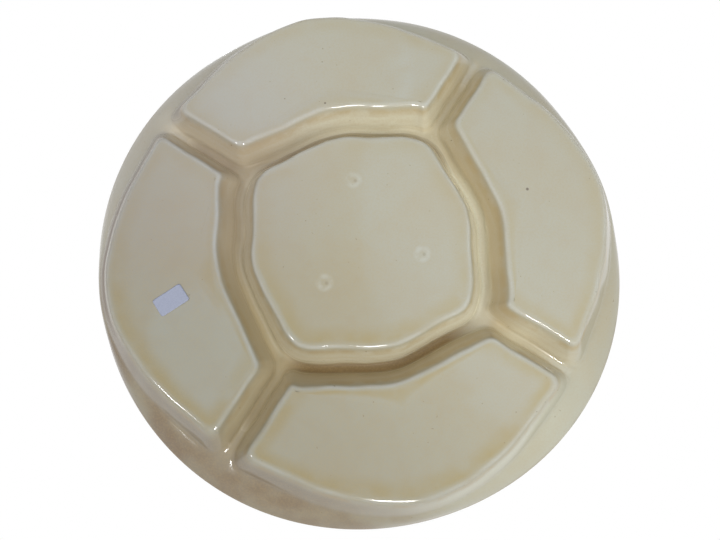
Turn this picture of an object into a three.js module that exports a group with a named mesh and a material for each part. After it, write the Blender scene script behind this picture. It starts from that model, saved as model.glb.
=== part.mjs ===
import * as THREE from 'three';
import { mergeGeometries, mergeVertices } from 'three/addons/utils/BufferGeometryUtils.js';

// Round serving dish with five wells, cast in one piece of glazed earthenware.
// Millimetres, Z up. Z = 0 is the table that the undersides of the wells stand on.
// The same quarter is repeated four times round the middle.

// Lip
const LIP_RADIUS = 169.5;
const LIP_HEIGHT = 26.6;
const LIP_ROUND = 2.1;
const LIP_TILT = 50;
// Slow out-of-round of the fired lip: its size, then waves in a turn, share of that size, turn in degrees
const LIP_RUNOUT = 0.97;
const LIP_WAVES = [
  [1, 1, -134],
  [2, 0.73, 149],
  [3, 0.4, -68],
  [4, 0.71, 114],
];

// Clay thickness, and height of the groove bottoms above the table
const WALL = 4.4;
const FLOOR = 4.8;
const GROOVE_HEIGHT = 17;

// Hollow grooves below the partitions
const GROOVE_WIDTH = 21.6;
const GROOVE_FLAT = 1.2;
const GROOVE_ANGLE = 32;
const GROOVE_OFFSET = 0.4;

// Wave of the middle well's floor edge, one quarter, starting at its corner:
// direction in degrees, share of the lip radius, share of the groove width outside it
const MIDDLE_WAVE = [
  [34.9, 0.4435, 1],
  [49.4, 0.3993, 1],
  [62, 0.3957, 0.91],
  [78.4, 0.4016, 0.97],
  [99.6, 0.3918, 1.04],
  [115, 0.4334, 1.05],
];

// Wave of an outer well's outer floor edge: direction in degrees, share of the lip radius
const OUTER_WAVE = [
  [41.9, 0.8409],
  [56.6, 0.8781],
  [69.9, 0.9074],
  [80.8, 0.9122],
  [91.3, 0.8823],
  [101, 0.8598],
  [112.2, 0.8385],
];

// Rounding of the wells: plan corners next to the middle and next to the rim, floor edges, feet
const INNER_CORNER = 8;
const OUTER_CORNER = 13;
const FLOOR_EDGE = 1.7;
const FOOT_EDGE = 2.2;
const WELL_EDGE = 4;
const RIDGE_EDGE = 5;
const WELL_CORNER_SHARE = 0.5;

// Rim between the outer wells and the lip
const RIM_REACH = 12.5;
const RIM_NARROW = 6;
const RIM_MARGIN = 0.35;
const RIM_SAG_SHARE = 0.12;
const RIM_SWING = 2;

// Slight hollow of each underside, inside a flat band that stands on the table
const HOLLOW_DEPTH = 0.6;
const HOLLOW_BAND_SHARE = 0.86;
const HOLLOW_MIDDLE_SHARE = 0.66;

// Blank paper price label stuck below one outer well
const LABEL_LENGTH = 17.4;
const LABEL_WIDTH = 10.8;
const LABEL_THICKNESS = 0.15;
const LABEL_CORNER = 1.4;
const LABEL_GAP = 0.3;
const LABEL_SHARE = 0.6985;
const LABEL_PLACE_ANGLE = -18.6;
const LABEL_TURN_ANGLE = -37;

// Steps along each rounded stretch
const PLAN_STEPS = 3;
const EDGE_STEPS = 2;
const FOOT_STEPS = 2;
const BAND_STEPS = 2;
const LIP_STEPS = 6;
const LABEL_STEPS = 5;
const QUARTER_COUNT = 4;
const SHARP_ANGLE = 37;

const MIDDLE = new THREE.Vector2(0, 0);
const radians = THREE.MathUtils.degToRad;

function direction(angle) {
  return new THREE.Vector2(Math.cos(radians(angle)), Math.sin(radians(angle)));
}

function turned(points, quarter) {
  return points.map((point) => point.clone().rotateAround(MIDDLE, (quarter * Math.PI) / 2));
}

function outwardNormals(guides) {
  return guides.map((guide, k) => {
    const side = guides[(k + 1) % guides.length].clone().sub(guide).normalize();
    return new THREE.Vector2(side.y, -side.x);
  });
}

// Moves each side of a ring of guide points outward by its own amount.
function spread(guides, amounts) {
  const normals = outwardNormals(guides);
  return guides.map((guide, k) => {
    const last = (k + guides.length - 1) % guides.length;
    const before = normals[last];
    const after = normals[k];
    const turn = before.cross(after);
    if (Math.abs(turn) > Math.sin(radians(SHARP_ANGLE))) {
      const x = (amounts[last] * after.y - amounts[k] * before.y) / turn;
      const y = (amounts[k] * before.x - amounts[last] * after.x) / turn;
      return guide.clone().add(new THREE.Vector2(x, y));
    }
    const both = before.clone().add(after);
    return guide.clone().addScaledVector(both, (amounts[last] + amounts[k]) / both.lengthSq());
  });
}

// Closed smooth ring that touches the middle of each side of its guide points.
function smoothRing(guides) {
  return guides.flatMap((guide, k) => {
    const before = guides[(k + guides.length - 1) % guides.length].clone().lerp(guide, 0.5);
    const after = guide.clone().lerp(guides[(k + 1) % guides.length], 0.5);
    const curve = new THREE.QuadraticBezierCurve3(before, guide, after);
    return curve.getPoints(PLAN_STEPS).slice(0, PLAN_STEPS);
  });
}

// Surface from each closed ring of points to the next.
function loft(rings) {
  const count = rings[0].length;
  const surface = new THREE.BufferGeometry().setFromPoints(rings.flat());
  const faces = [];
  for (let r = 0; r + 1 < rings.length; r += 1) {
    for (let k = 0; k < count; k += 1) {
      const a = r * count + k;
      const b = r * count + ((k + 1) % count);
      faces.push(a, b, b + count);
      faces.push(a, b + count, a + count);
    }
  }
  return surface.setIndex(faces);
}

// Flat sheet inside one ring and outside others, facing up or down.
function sheet(ring, holes, facesUp) {
  const shape = new THREE.Shape(ring.map((point) => new THREE.Vector2(point.x, point.y)));
  shape.holes = holes.map((hole) => new THREE.Path(hole.map((p) => new THREE.Vector2(p.x, p.y))));
  const surface = new THREE.ShapeGeometry(shape);
  surface.deleteAttribute('normal');
  surface.deleteAttribute('uv');
  surface.translate(0, 0, ring[0].z);
  if (!facesUp) {
    const faces = Array.from(surface.getIndex().array);
    surface.setIndex(faces.reverse());
  }
  return surface;
}

// Point where the straight line through a, in direction along, crosses the line through c and d.
function crossing(a, along, c, d) {
  const side = d.clone().sub(c);
  const share = c.clone().sub(a).cross(side) / along.cross(side);
  return a.clone().addScaledVector(along, share);
}

// Points of a rounded corner from one leg to the other.
function rounded(from, corner, to, steps) {
  return new THREE.QuadraticBezierCurve(from, corner, to).getPoints(steps);
}

// Section of a wall in (reach, height): rounded edge, straight wall, rounded foot.
function wallSection(start, edge, foot, end, edgeLeg, footLeg) {
  const along = foot.clone().sub(edge).normalize();
  const wallStart = edge.clone().addScaledVector(along, edgeLeg);
  const wallEnd = foot.clone().addScaledVector(along, -footLeg);
  const lower = rounded(start, edge, wallStart, EDGE_STEPS);
  const upper = rounded(wallEnd, foot, end, FOOT_STEPS);
  return lower.concat(upper);
}

function lipRadius(angle) {
  const waves = LIP_WAVES.map(([times, share, turn]) => share * Math.cos(times * angle - radians(turn)));
  return waves.reduce((sum, wave) => sum + wave * LIP_RUNOUT, LIP_RADIUS);
}

// Sagging line of the rim's underside from the wells' feet to the lip, in (radius, height).
const lipNormal = direction(LIP_TILT - 90);
function bandGuide(from, to) {
  const chord = to.clone().sub(from);
  const down = new THREE.Vector2(chord.y, -chord.x).multiplyScalar(RIM_SAG_SHARE);
  return from.clone().lerp(to, 0.5).add(down);
}

// Steepness of the rim's underside where it leaves a well's foot at this radius.
function bandTangent(radius) {
  const from = new THREE.Vector2(radius, GROOVE_HEIGHT);
  const lipMiddle = new THREE.Vector2(LIP_RADIUS - LIP_ROUND, LIP_HEIGHT);
  const to = lipMiddle.addScaledVector(lipNormal, LIP_ROUND);
  return bandGuide(from, to).sub(from).normalize();
}

// Under and upper section of a wall beside a groove of this width.
function grooveSections(width) {
  const mouth = (width - GROOVE_FLAT) / 2;
  const end = new THREE.Vector2(mouth, GROOVE_HEIGHT);
  const foot = new THREE.Vector2(mouth - FOOT_EDGE, GROOVE_HEIGHT);
  return sections(foot, end, new THREE.Vector2(1, 0));
}

// Under and upper section of an outer well's wall beside the rim, from its floor edge's radius.
function rimSections(radius) {
  const mouth = Math.min(RIM_REACH, LIP_RADIUS - RIM_NARROW - radius);
  const slope = bandTangent(radius + mouth);
  const end = new THREE.Vector2(mouth, GROOVE_HEIGHT);
  const foot = end.clone().addScaledVector(slope, -FOOT_EDGE);
  return sections(foot, end, slope);
}

// The upper side is the same wall one clay thickness further in.
function sections(foot, end, slope) {
  const edge = new THREE.Vector2(0, 0);
  const start = new THREE.Vector2(-FLOOR_EDGE, 0);
  const under = wallSection(start, edge, foot, end, FLOOR_EDGE, FOOT_EDGE);
  const along = foot.clone().sub(edge).normalize();
  const wellSide = new THREE.Vector2(-along.y, along.x).multiplyScalar(WALL);
  const floorLevel = new THREE.Vector2(0, FLOOR);
  const ridgeEnd = end.clone().add(new THREE.Vector2(0, WALL));
  const flat = new THREE.Vector2(1, 0);
  const wellEdge = crossing(floorLevel, flat, wellSide, wellSide.clone().add(along));
  const ridgeEdge = crossing(ridgeEnd, slope, wellSide, wellSide.clone().add(along));
  const wellStart = wellEdge.clone().add(new THREE.Vector2(-WELL_EDGE, 0));
  const ridgeLeg = Math.min(RIDGE_EDGE, ridgeEnd.distanceTo(ridgeEdge));
  const upper = wallSection(wellStart, wellEdge, ridgeEdge, ridgeEnd, WELL_EDGE, ridgeLeg);
  return { under, upper };
}

// Rings of one wall, one for each point of its sections.
function wallRings(guides, sides, softness) {
  return sides[0].map((_, ring) => {
    const reaches = sides.map((side) => side[ring].x);
    const heights = sides.map((side) => side[ring].y);
    const plan = spread(guides, reaches);
    const last = sides[0].length - 1;
    const soft = softness * (1 - ring / last);
    const lifted = plan.map((point, k) => {
      const before = plan[(k + plan.length - 1) % plan.length];
      const after = plan[(k + 1) % plan.length];
      const eased = point.clone().lerp(before.clone().lerp(after, 0.5), soft);
      const height = (heights[k] + heights[(k + heights.length - 1) % heights.length]) / 2;
      return new THREE.Vector3(eased.x, eased.y, height);
    });
    return smoothRing(lifted);
  });
}

// Under and upper side of one well, from guide points of its floor edge and its walls' sections.
function makeWell(guides, walls) {
  const under = wallRings(guides, walls.map((wall) => wall.under), 0);
  const upper = wallRings(guides, walls.map((wall) => wall.upper), WELL_CORNER_SHARE);
  const centre = new THREE.Vector3();
  under[0].forEach((point) => centre.addScaledVector(point, 1 / under[0].length));
  const shrunk = (share, height) => under[0].map((point) => {
    const inner = centre.clone().lerp(point, share);
    return inner.setZ(height);
  });
  const hollow = [shrunk(HOLLOW_MIDDLE_SHARE, HOLLOW_DEPTH), shrunk(HOLLOW_BAND_SHARE, 0)];
  const downward = upper.slice().reverse();
  return {
    mouth: under[under.length - 1],
    ridge: upper[upper.length - 1],
    surfaces: [
      sheet(hollow[0], [], false),
      loft(hollow.concat(under)),
      loft(downward),
      sheet(upper[0], [], true),
    ],
  };
}

// Middle well: the quarter wave four times round.
const waveGuides = MIDDLE_WAVE.map(([angle, share]) => direction(angle).multiplyScalar(share * LIP_RADIUS));
const waveWidths = MIDDLE_WAVE.map(([, , share]) => share * GROOVE_WIDTH);
const middleGuides = [];
const middleWidths = [];
for (let quarter = 0; quarter < QUARTER_COUNT; quarter += 1) {
  middleGuides.push(...turned(waveGuides, quarter));
  middleWidths.push(...waveWidths);
}
const sideWidths = middleWidths.map((width, k) => {
  const next = middleWidths[(k + 1) % middleWidths.length];
  return (width + next) / 2;
});
const middleWell = makeWell(middleGuides, sideWidths.map(grooveSections));

// Outer well: its inner edge lies across the groove from the middle well.
const acrossGuides = spread(middleGuides, sideWidths);
const innerEdge = acrossGuides.slice(0, MIDDLE_WAVE.length + 1);
const rightWay = direction(GROOVE_ANGLE);
const leftWay = direction(GROOVE_ANGLE + 90);
const halfGroove = GROOVE_WIDTH / 2;
const rightStart = leftWay.clone().multiplyScalar(halfGroove - GROOVE_OFFSET);
const leftStart = rightWay.clone().multiplyScalar(halfGroove + GROOVE_OFFSET);
const outerEdge = OUTER_WAVE.map(([angle, share]) => direction(angle).multiplyScalar(share * LIP_RADIUS));
const lastOuter = outerEdge.length - 1;
const lastInner = innerEdge.length - 1;
const innerRight = crossing(rightStart, rightWay, innerEdge[0], innerEdge[1]);
const innerLeft = crossing(leftStart, leftWay, innerEdge[lastInner - 1], innerEdge[lastInner]);
const outerRight = crossing(rightStart, rightWay, outerEdge[1], outerEdge[0]);
const outerLeft = crossing(leftStart, leftWay, outerEdge[lastOuter - 1], outerEdge[lastOuter]);
const toward = (from, to, leg) => from.clone().addScaledVector(to.clone().sub(from).normalize(), leg);

const wellGuides = [
  innerRight,
  toward(innerRight, outerRight, INNER_CORNER),
  toward(outerRight, innerRight, OUTER_CORNER),
  outerRight,
  ...outerEdge,
  outerLeft,
  toward(outerLeft, innerLeft, OUTER_CORNER),
  toward(innerLeft, outerLeft, INNER_CORNER),
  innerLeft,
  ...innerEdge.slice(1, lastInner).reverse(),
  toward(innerRight, innerEdge[1], INNER_CORNER),
];

// Each side of an outer well faces a radial groove, the rim or the groove round the middle well.
const firstRimSide = 3;
const lastRimSide = firstRimSide + outerEdge.length;
const firstInnerSide = lastRimSide + 4;
const outerWalls = wellGuides.map((guide, k) => {
  const next = wellGuides[(k + 1) % wellGuides.length];
  if (k >= firstRimSide && k <= lastRimSide) {
    return rimSections((guide.length() + next.length()) / 2);
  }
  if (k < firstInnerSide) {
    return grooveSections(GROOVE_WIDTH);
  }
  const waveSide = Math.max(MIDDLE_WAVE.length - 1 - (k - firstInnerSide), 0);
  return grooveSections(sideWidths[waveSide]);
});
const outerWells = [];
for (let quarter = 0; quarter < QUARTER_COUNT; quarter += 1) {
  outerWells.push(makeWell(turned(wellGuides, quarter), outerWalls));
}

// Collar: the closed line round all wells where the rim begins.
const collarReaches = outerWalls.map((wall) => wall.under[wall.under.length - 1].x + RIM_MARGIN);
const collarSpread = spread(wellGuides, collarReaches).slice(firstRimSide + 1, lastRimSide + 1);
const nearGroove = (collarSpread[0].length() + collarSpread[lastOuter].length()) / 2;
collarSpread.push(direction(GROOVE_ANGLE + 90).multiplyScalar(nearGroove + RIM_SWING));
const collarGuides = [];
for (let quarter = 0; quarter < QUARTER_COUNT; quarter += 1) {
  collarGuides.push(...turned(collarSpread, quarter).map((p) => new THREE.Vector3(p.x, p.y, 0)));
}
const collar = smoothRing(collarGuides);

// Rim: sagging underside, rolled lip and upper side, on each ray of the collar.
function rimSection(angle, radius) {
  const lipMiddle = new THREE.Vector2(lipRadius(angle) - LIP_ROUND, LIP_HEIGHT);
  const underLip = lipMiddle.clone().addScaledVector(lipNormal, LIP_ROUND);
  const overLip = lipMiddle.clone().addScaledVector(lipNormal, -LIP_ROUND);
  const underStart = new THREE.Vector2(radius, GROOVE_HEIGHT);
  const overEnd = new THREE.Vector2(radius, GROOVE_HEIGHT + WALL);
  const under = rounded(underStart, bandGuide(underStart, underLip), underLip, BAND_STEPS);
  const over = rounded(overLip, bandGuide(overEnd, overLip), overEnd, BAND_STEPS);
  const from = radians(LIP_TILT - 90);
  const roll = new THREE.EllipseCurve(lipMiddle.x, lipMiddle.y, LIP_ROUND, LIP_ROUND, from, from + Math.PI);
  return [...under, ...roll.getPoints(LIP_STEPS).slice(1, LIP_STEPS), ...over];
}
const rimRays = collar.map((point) => {
  const angle = Math.atan2(point.y, point.x);
  const ray = new THREE.Vector2(point.x, point.y).normalize();
  const section = rimSection(angle, Math.hypot(point.x, point.y));
  return section.map((spot) => new THREE.Vector3(ray.x * spot.x, ray.y * spot.x, spot.y));
});
const rimRings = rimRays[0].map((_, k) => rimRays.map((ray) => ray[k]));

// One closed casting: five wells, groove bottoms, partition tops and rim.
const wells = [middleWell, ...outerWells];
const grooveFloor = sheet(rimRings[0], wells.map((well) => well.mouth), false);
const partitionTop = sheet(rimRings[rimRings.length - 1], wells.map((well) => well.ridge), true);
const surfaces = [...wells.flatMap((well) => well.surfaces), loft(rimRings), grooveFloor, partitionTop];
const casting = mergeVertices(mergeGeometries(surfaces), 1e-4);
casting.computeVertexNormals();

const glaze = new THREE.MeshStandardMaterial({ color: 0xd8d0b4, roughness: 0.18, metalness: 0 });
const dish = new THREE.Mesh(casting, glaze);
dish.name = 'dish_body';

// Label: a thin card with round corners, in the hollow below one outer well.
function labelShape() {
  const x = LABEL_LENGTH / 2;
  const y = LABEL_WIDTH / 2;
  const r = LABEL_CORNER;
  const shape = new THREE.Shape();
  shape.moveTo(-x + r, -y);
  shape.lineTo(x - r, -y);
  shape.absarc(x - r, -y + r, r, -Math.PI / 2, 0);
  shape.lineTo(x, y - r);
  shape.absarc(x - r, y - r, r, 0, Math.PI / 2);
  shape.lineTo(-x + r, y);
  shape.absarc(-x + r, y - r, r, Math.PI / 2, Math.PI);
  shape.lineTo(-x, -y + r);
  shape.absarc(-x + r, -y + r, r, Math.PI, 1.5 * Math.PI);
  return shape;
}
const card = new THREE.ExtrudeGeometry(labelShape(), {
  depth: LABEL_THICKNESS,
  bevelEnabled: false,
  curveSegments: LABEL_STEPS,
});
const paper = new THREE.MeshStandardMaterial({ color: 0xf2f0ea, roughness: 0.8, metalness: 0 });
const label = new THREE.Mesh(card, paper);
label.name = 'price_label';
const labelSpot = direction(LABEL_PLACE_ANGLE).multiplyScalar(LABEL_SHARE * LIP_RADIUS);
label.position.set(labelSpot.x, labelSpot.y, HOLLOW_DEPTH - LABEL_GAP - LABEL_THICKNESS);
label.rotation.z = radians(LABEL_TURN_ANGLE);

const object = new THREE.Group();
object.add(dish, label);

export default object;
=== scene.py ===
# %% [markdown]
# # A divided dish, seen from below
# The real object is a round serving dish for small bites: a squarish middle well, four curved
# wells around it and a plain rolled rim. It is one casting of cream-glazed clay, with a small
# paper label stuck below one well. The picture to match looks at its underside, so the wells
# swell towards the camera and the partitions between them are hollow grooves.
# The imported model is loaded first, because it fixes every size and place used below.

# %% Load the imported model
import bpy
import numpy as np
from mathutils import Matrix, Vector
from mathutils.geometry import delaunay_2d_cdt


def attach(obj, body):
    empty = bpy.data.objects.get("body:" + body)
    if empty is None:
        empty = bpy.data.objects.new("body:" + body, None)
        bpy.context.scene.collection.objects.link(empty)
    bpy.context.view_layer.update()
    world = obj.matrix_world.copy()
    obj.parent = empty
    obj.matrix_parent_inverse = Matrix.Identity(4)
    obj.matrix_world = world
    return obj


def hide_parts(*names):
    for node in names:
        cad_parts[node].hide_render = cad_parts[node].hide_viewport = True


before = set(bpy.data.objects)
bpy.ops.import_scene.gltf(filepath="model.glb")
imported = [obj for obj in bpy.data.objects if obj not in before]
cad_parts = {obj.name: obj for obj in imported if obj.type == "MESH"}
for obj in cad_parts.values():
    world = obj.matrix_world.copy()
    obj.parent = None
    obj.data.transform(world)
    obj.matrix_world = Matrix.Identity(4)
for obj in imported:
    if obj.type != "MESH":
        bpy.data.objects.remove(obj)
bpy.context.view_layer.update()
MM = 0.001
scene = bpy.context.scene
scene.view_settings.view_transform = "Standard"

# %% [markdown]
# ## Camera
# A dish that lies on its face and is looked down on shows the same side as a standing dish that
# is looked up at. The dish stands here, so the camera sits below the table. Its place and lens
# come from lining up the flat well bottoms, the groove bottoms and the lip with the picture.

# %% Camera below the table
CAMERA_PLACE = Vector((10.16, -88.83, -324.59)) * MM
CAMERA_AIM = Vector((1.39, -19.73, 0.0)) * MM
CAMERA_UP = Vector((-0.0028, 1.0, 0.0))
CAMERA_LENS = 27.75

forward = (CAMERA_AIM - CAMERA_PLACE).normalized()
right = forward.cross(CAMERA_UP).normalized()
turn = Matrix((right, right.cross(forward), -forward)).transposed()
camera_data = bpy.data.cameras.new("camera")
camera_data.lens = CAMERA_LENS
camera = bpy.data.objects.new("camera", camera_data)
camera.matrix_world = Matrix.Translation(CAMERA_PLACE) @ turn.to_4x4()
scene.collection.objects.link(camera)
scene.camera = camera
print("camera is", round((CAMERA_AIM - CAMERA_PLACE).length, 3), "m from the well bottoms")

# %% [markdown]
# ## Smooth closed rings
# Every outline of the dish is a closed wavy ring. A ring could be drawn as many straight pieces,
# but then each change would mean moving hundreds of points. A few guide points are enough: near
# each one the ring is the parabola that runs from the middle of one side to the middle of the
# next, so the ring touches every side and has no kink. A second function moves every side of the
# guide polygon outwards by its own amount, which turns a floor outline into the rings of a wall.

# %% Rings from guide points
FINE_STEPS, COARSE_STEPS = 17, 9
SHARP_TURN = 0.6


def crossed(a, b):
    """How far direction b turns away from a: the area of the parallelogram on both."""
    return a[..., 0] * b[..., 1] - a[..., 1] * b[..., 0]


def touching_ring(guides, steps):
    """Near each guide g: (1-t)^2 times the middle before it, 2t(1-t) times g, t^2 times the middle
    after it."""
    t = np.arange(steps)[:, None] / steps
    before = (np.roll(guides, 1, axis=-2) + guides) / 2
    after = (guides + np.roll(guides, -1, axis=-2)) / 2
    bend = (1 - t) ** 2 * before[..., None, :] + t**2 * after[..., None, :]
    bend = bend + 2 * t * (1 - t) * guides[..., None, :]
    return bend.reshape(*guides.shape[:-2], -1, guides.shape[-1])


def spread(guides, amounts):
    """Each guide goes to where its two sides meet after both have moved outwards by their amounts."""
    sides = np.roll(guides, -1, axis=0) - guides
    after = np.stack([sides[:, 1], -sides[:, 0]], axis=1) / np.hypot(*sides.T)[:, None]
    before = np.roll(after, 1, axis=0)
    last = np.roll(amounts, 1, axis=-1)
    both = before + after
    gentle = both * ((last + amounts) / (both**2).sum(axis=1))[..., None]
    turning = crossed(before, after)
    is_sharp = np.abs(turning) > SHARP_TURN
    divisor = np.where(is_sharp, turning, 1)
    x = (last * after[:, 1] - amounts * before[:, 1]) / divisor
    y = (amounts * before[:, 0] - last * after[:, 0]) / divisor
    return guides + np.where(is_sharp[:, None], np.stack([x, y], axis=-1), gentle)


print("a ring has", FINE_STEPS, "points for each guide point below and", COARSE_STEPS, "above")

# %% [markdown]
# ## Middle well
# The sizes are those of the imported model, in millimetres. The dish repeats itself every quarter
# turn, so one quarter of the middle well's wave is enough. Each row of the table is a direction
# in degrees, a distance as a share of the lip radius, and the width of the groove there as a
# share of the usual groove width.

# %% Outline of the middle well
LIP_RADIUS, GROOVE_WIDTH, QUARTERS = 169.5, 21.6, 4
MIDDLE_WAVE = np.array([
    [34.9, 0.4435, 1], [49.4, 0.3993, 1], [62, 0.3957, 0.91],
    [78.4, 0.4016, 0.97], [99.6, 0.3918, 1.04], [115, 0.4334, 1.05],
])


def polar(angle, radius):
    """Plan points at directions in degrees and distances from the middle."""
    way = np.radians(angle)
    return np.stack([np.cos(way) * radius, np.sin(way) * radius], axis=-1)


def quarter_turned(points, quarter):
    """The plan points after a number of quarter turns, each of which makes (x, y) into (-y, x)."""
    return points @ np.linalg.matrix_power(np.array([[0, 1], [-1, 0]]), quarter)


quarter_wave = polar(MIDDLE_WAVE[:, 0], MIDDLE_WAVE[:, 1] * LIP_RADIUS)
middle_guides = np.concatenate([quarter_turned(quarter_wave, k) for k in range(QUARTERS)])
wave_widths = np.tile(MIDDLE_WAVE[:, 2] * GROOVE_WIDTH, QUARTERS)
side_widths = (wave_widths + np.roll(wave_widths, -1)) / 2
print("middle well is about", round(2 * np.hypot(*middle_guides.T).mean()), "mm across")

# %% [markdown]
# ## Outer wells
# One outer well is enough too. Its inner edge runs across the groove from the middle well, its
# sides run along the straight grooves, and its outer edge is a wave of its own. Four extra guide
# points near each pair of corners keep the corners tight.

# %% Outline of an outer well
GROOVE_ANGLE, GROOVE_OFFSET = 32, 0.4
INNER_CORNER, OUTER_CORNER = 8, 13
OUTER_WAVE = np.array([
    [41.9, 0.8409], [56.6, 0.8781], [69.9, 0.9074], [80.8, 0.9122],
    [91.3, 0.8823], [101, 0.8598], [112.2, 0.8385],
])


def crossing(start, way, a, b):
    """Point where the line from start along way meets the line through a and b."""
    side = b - a
    return start + way * crossed(a - start, side) / crossed(way, side)


def step_towards(start, goal, length):
    """Point a length away from start, on the way to goal."""
    return start + (goal - start) / np.hypot(*(goal - start)) * length


inner_edge = spread(middle_guides, side_widths)[: len(MIDDLE_WAVE) + 1]
outer_edge = polar(OUTER_WAVE[:, 0], OUTER_WAVE[:, 1] * LIP_RADIUS)
groove_way = polar(GROOVE_ANGLE, 1)
next_groove_way = polar(GROOVE_ANGLE + 90, 1)
right_start = next_groove_way * (GROOVE_WIDTH / 2 - GROOVE_OFFSET)
left_start = groove_way * (GROOVE_WIDTH / 2 + GROOVE_OFFSET)
inner_right = crossing(right_start, groove_way, inner_edge[0], inner_edge[1])
inner_left = crossing(left_start, next_groove_way, inner_edge[-2], inner_edge[-1])
outer_right = crossing(right_start, groove_way, outer_edge[1], outer_edge[0])
outer_left = crossing(left_start, next_groove_way, outer_edge[-2], outer_edge[-1])
well_guides = np.array([
    inner_right,
    step_towards(inner_right, outer_right, INNER_CORNER),
    step_towards(outer_right, inner_right, OUTER_CORNER),
    outer_right,
    *outer_edge,
    outer_left,
    step_towards(outer_left, inner_left, OUTER_CORNER),
    step_towards(inner_left, outer_left, INNER_CORNER),
    inner_left,
    *inner_edge[-2:0:-1],
    step_towards(inner_right, inner_edge[1], INNER_CORNER),
])
print("an outer well has", len(well_guides), "guide points")

# %% [markdown]
# ## Wall sections
# A wall of the casting is cut across: from the flat underside round a tight edge, up a straight
# slope and round a soft foot into the groove or the rim. The well's own side is the same wall one
# clay thickness further in. Each section is a row of points in (reach from the floor edge,
# height), and every side of a guide polygon has its own, because grooves and rim differ in width.

# %% Rounded wall sections
WALL, FLOOR, GROOVE_HEIGHT, GROOVE_FLAT = 4.4, 4.8, 17.0, 1.2
FLOOR_EDGE, FOOT_EDGE, WELL_EDGE, RIDGE_EDGE = 2.3, 1.7, 4, 5
EDGE_STEPS, WALL_STEPS, FOOT_STEPS = 8, 3, 7


def unit(vectors):
    """The same directions with length one."""
    return vectors / np.linalg.norm(vectors, axis=-1, keepdims=True)


def parabola(a, b, c, steps):
    """Rows from a to c with their tangents meeting at b."""
    t = np.linspace(0, 1, steps + 1)[:, None, None]
    return (1 - t) ** 2 * a + 2 * t * (1 - t) * b + t**2 * c


def rounded_wall(start, edge, foot, end, edge_leg, foot_leg):
    """Rows of a parabola round the edge, a straight slope and a parabola round the foot."""
    along = unit(foot - edge)
    low, high = edge + along * edge_leg, foot - along * foot_leg
    t = np.linspace(0, 1, WALL_STEPS + 1)[1:-1, None, None]
    slope = low + (high - low) * t
    round_edge = parabola(start, edge, low, EDGE_STEPS)
    return np.concatenate([round_edge, slope, parabola(high, foot, end, FOOT_STEPS)])


def wall_sections(mouth, way_out):
    """Under and upper section of each side, from its reach at groove height and its way out there."""
    edge = np.zeros((len(mouth), 2))
    end = np.stack([mouth, np.full(len(mouth), GROOVE_HEIGHT)], axis=1)
    foot = end - way_out * FOOT_EDGE
    under = rounded_wall(edge - [FLOOR_EDGE, 0], edge, foot, end, FLOOR_EDGE, FOOT_EDGE)
    along = unit(foot)
    inner = np.stack([-along[:, 1], along[:, 0]], axis=1) * WALL
    ridge_end = end + [0, WALL]
    share = (FLOOR - inner[:, 1]) / along[:, 1]
    well_edge = inner + along * share[:, None]
    share = crossed(inner - ridge_end, along) / crossed(way_out, along)
    ridge = ridge_end + way_out * share[:, None]
    leg = np.minimum(RIDGE_EDGE, np.linalg.norm(ridge_end - ridge, axis=1))[:, None]
    upper = rounded_wall(well_edge - [WELL_EDGE, 0], well_edge, ridge, ridge_end, WELL_EDGE, leg)
    return under, upper


flat_way = np.array([1.0, 0.0])
middle_ways = np.tile(flat_way, (len(side_widths), 1))
middle_sections = wall_sections((side_widths - GROOVE_FLAT) / 2, middle_ways)
print("a wall section has", len(middle_sections[0]), "points")

# %% [markdown]
# ## Walls towards the rim
# An outer well's walls end in a groove on three sides and in the rim on the fourth. The rim climbs
# from there to the lip, so these walls end higher and lean the way the rim does.

# %% Sections of an outer well
LIP_HEIGHT, LIP_ROUND, LIP_TILT = 26.6, 2.1, 50
RIM_REACH, RIM_NARROW, RIM_SAG = 12.5, 6, 0.12
FIRST_RIM_SIDE, CORNER_SIDES = 3, 4
LIP_NORMAL = polar(LIP_TILT - 90, 1)


def rim_guide(start, end):
    """Middle of the rim's line, pushed down across it by the rim's sag."""
    chord = end - start
    return (start + end) / 2 + np.stack([chord[..., 1], -chord[..., 0]], axis=-1) * RIM_SAG


def rim_slope(radius):
    """Direction in (radius, height) in which the rim leaves a well's foot."""
    start = np.stack([radius, np.full(len(radius), GROOVE_HEIGHT)], axis=1)
    lip = np.array([LIP_RADIUS - LIP_ROUND, LIP_HEIGHT]) + LIP_NORMAL * LIP_ROUND
    return unit(rim_guide(start, lip) - start)


side_number = np.arange(len(well_guides))
last_rim_side = FIRST_RIM_SIDE + len(outer_edge)
first_inner_side = last_rim_side + CORNER_SIDES
faces_rim = (side_number >= FIRST_RIM_SIDE) & (side_number <= last_rim_side)
last_wave = len(MIDDLE_WAVE) - 1
wave_side = np.clip(last_wave - (side_number - first_inner_side), 0, last_wave)
groove_widths = np.where(side_number < first_inner_side, GROOVE_WIDTH, side_widths[wave_side])
guide_radius = np.hypot(*well_guides.T)
side_radius = (guide_radius + np.roll(guide_radius, -1)) / 2
rim_mouth = np.minimum(RIM_REACH, LIP_RADIUS - RIM_NARROW - side_radius)
outer_mouth = np.where(faces_rim, rim_mouth, (groove_widths - GROOVE_FLAT) / 2)
outer_way = np.where(faces_rim[:, None], rim_slope(side_radius + rim_mouth), flat_way)
outer_sections = wall_sections(outer_mouth, outer_way)
print(faces_rim.sum(), "of the", len(faces_rim), "sides of an outer well face the rim")

# %% [markdown]
# ## Wells as surfaces of two parameters
# One parameter runs round the well, the other from the middle of its floor over the edge and up
# the wall. Along with x, y and z each point carries what the glaze will need: how far it lies
# from the floor edge, and how deep it lies in a groove, where glaze pools. The floor underneath
# is slightly hollow, as fired floors are, so the dish stands on a narrow band.

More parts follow.
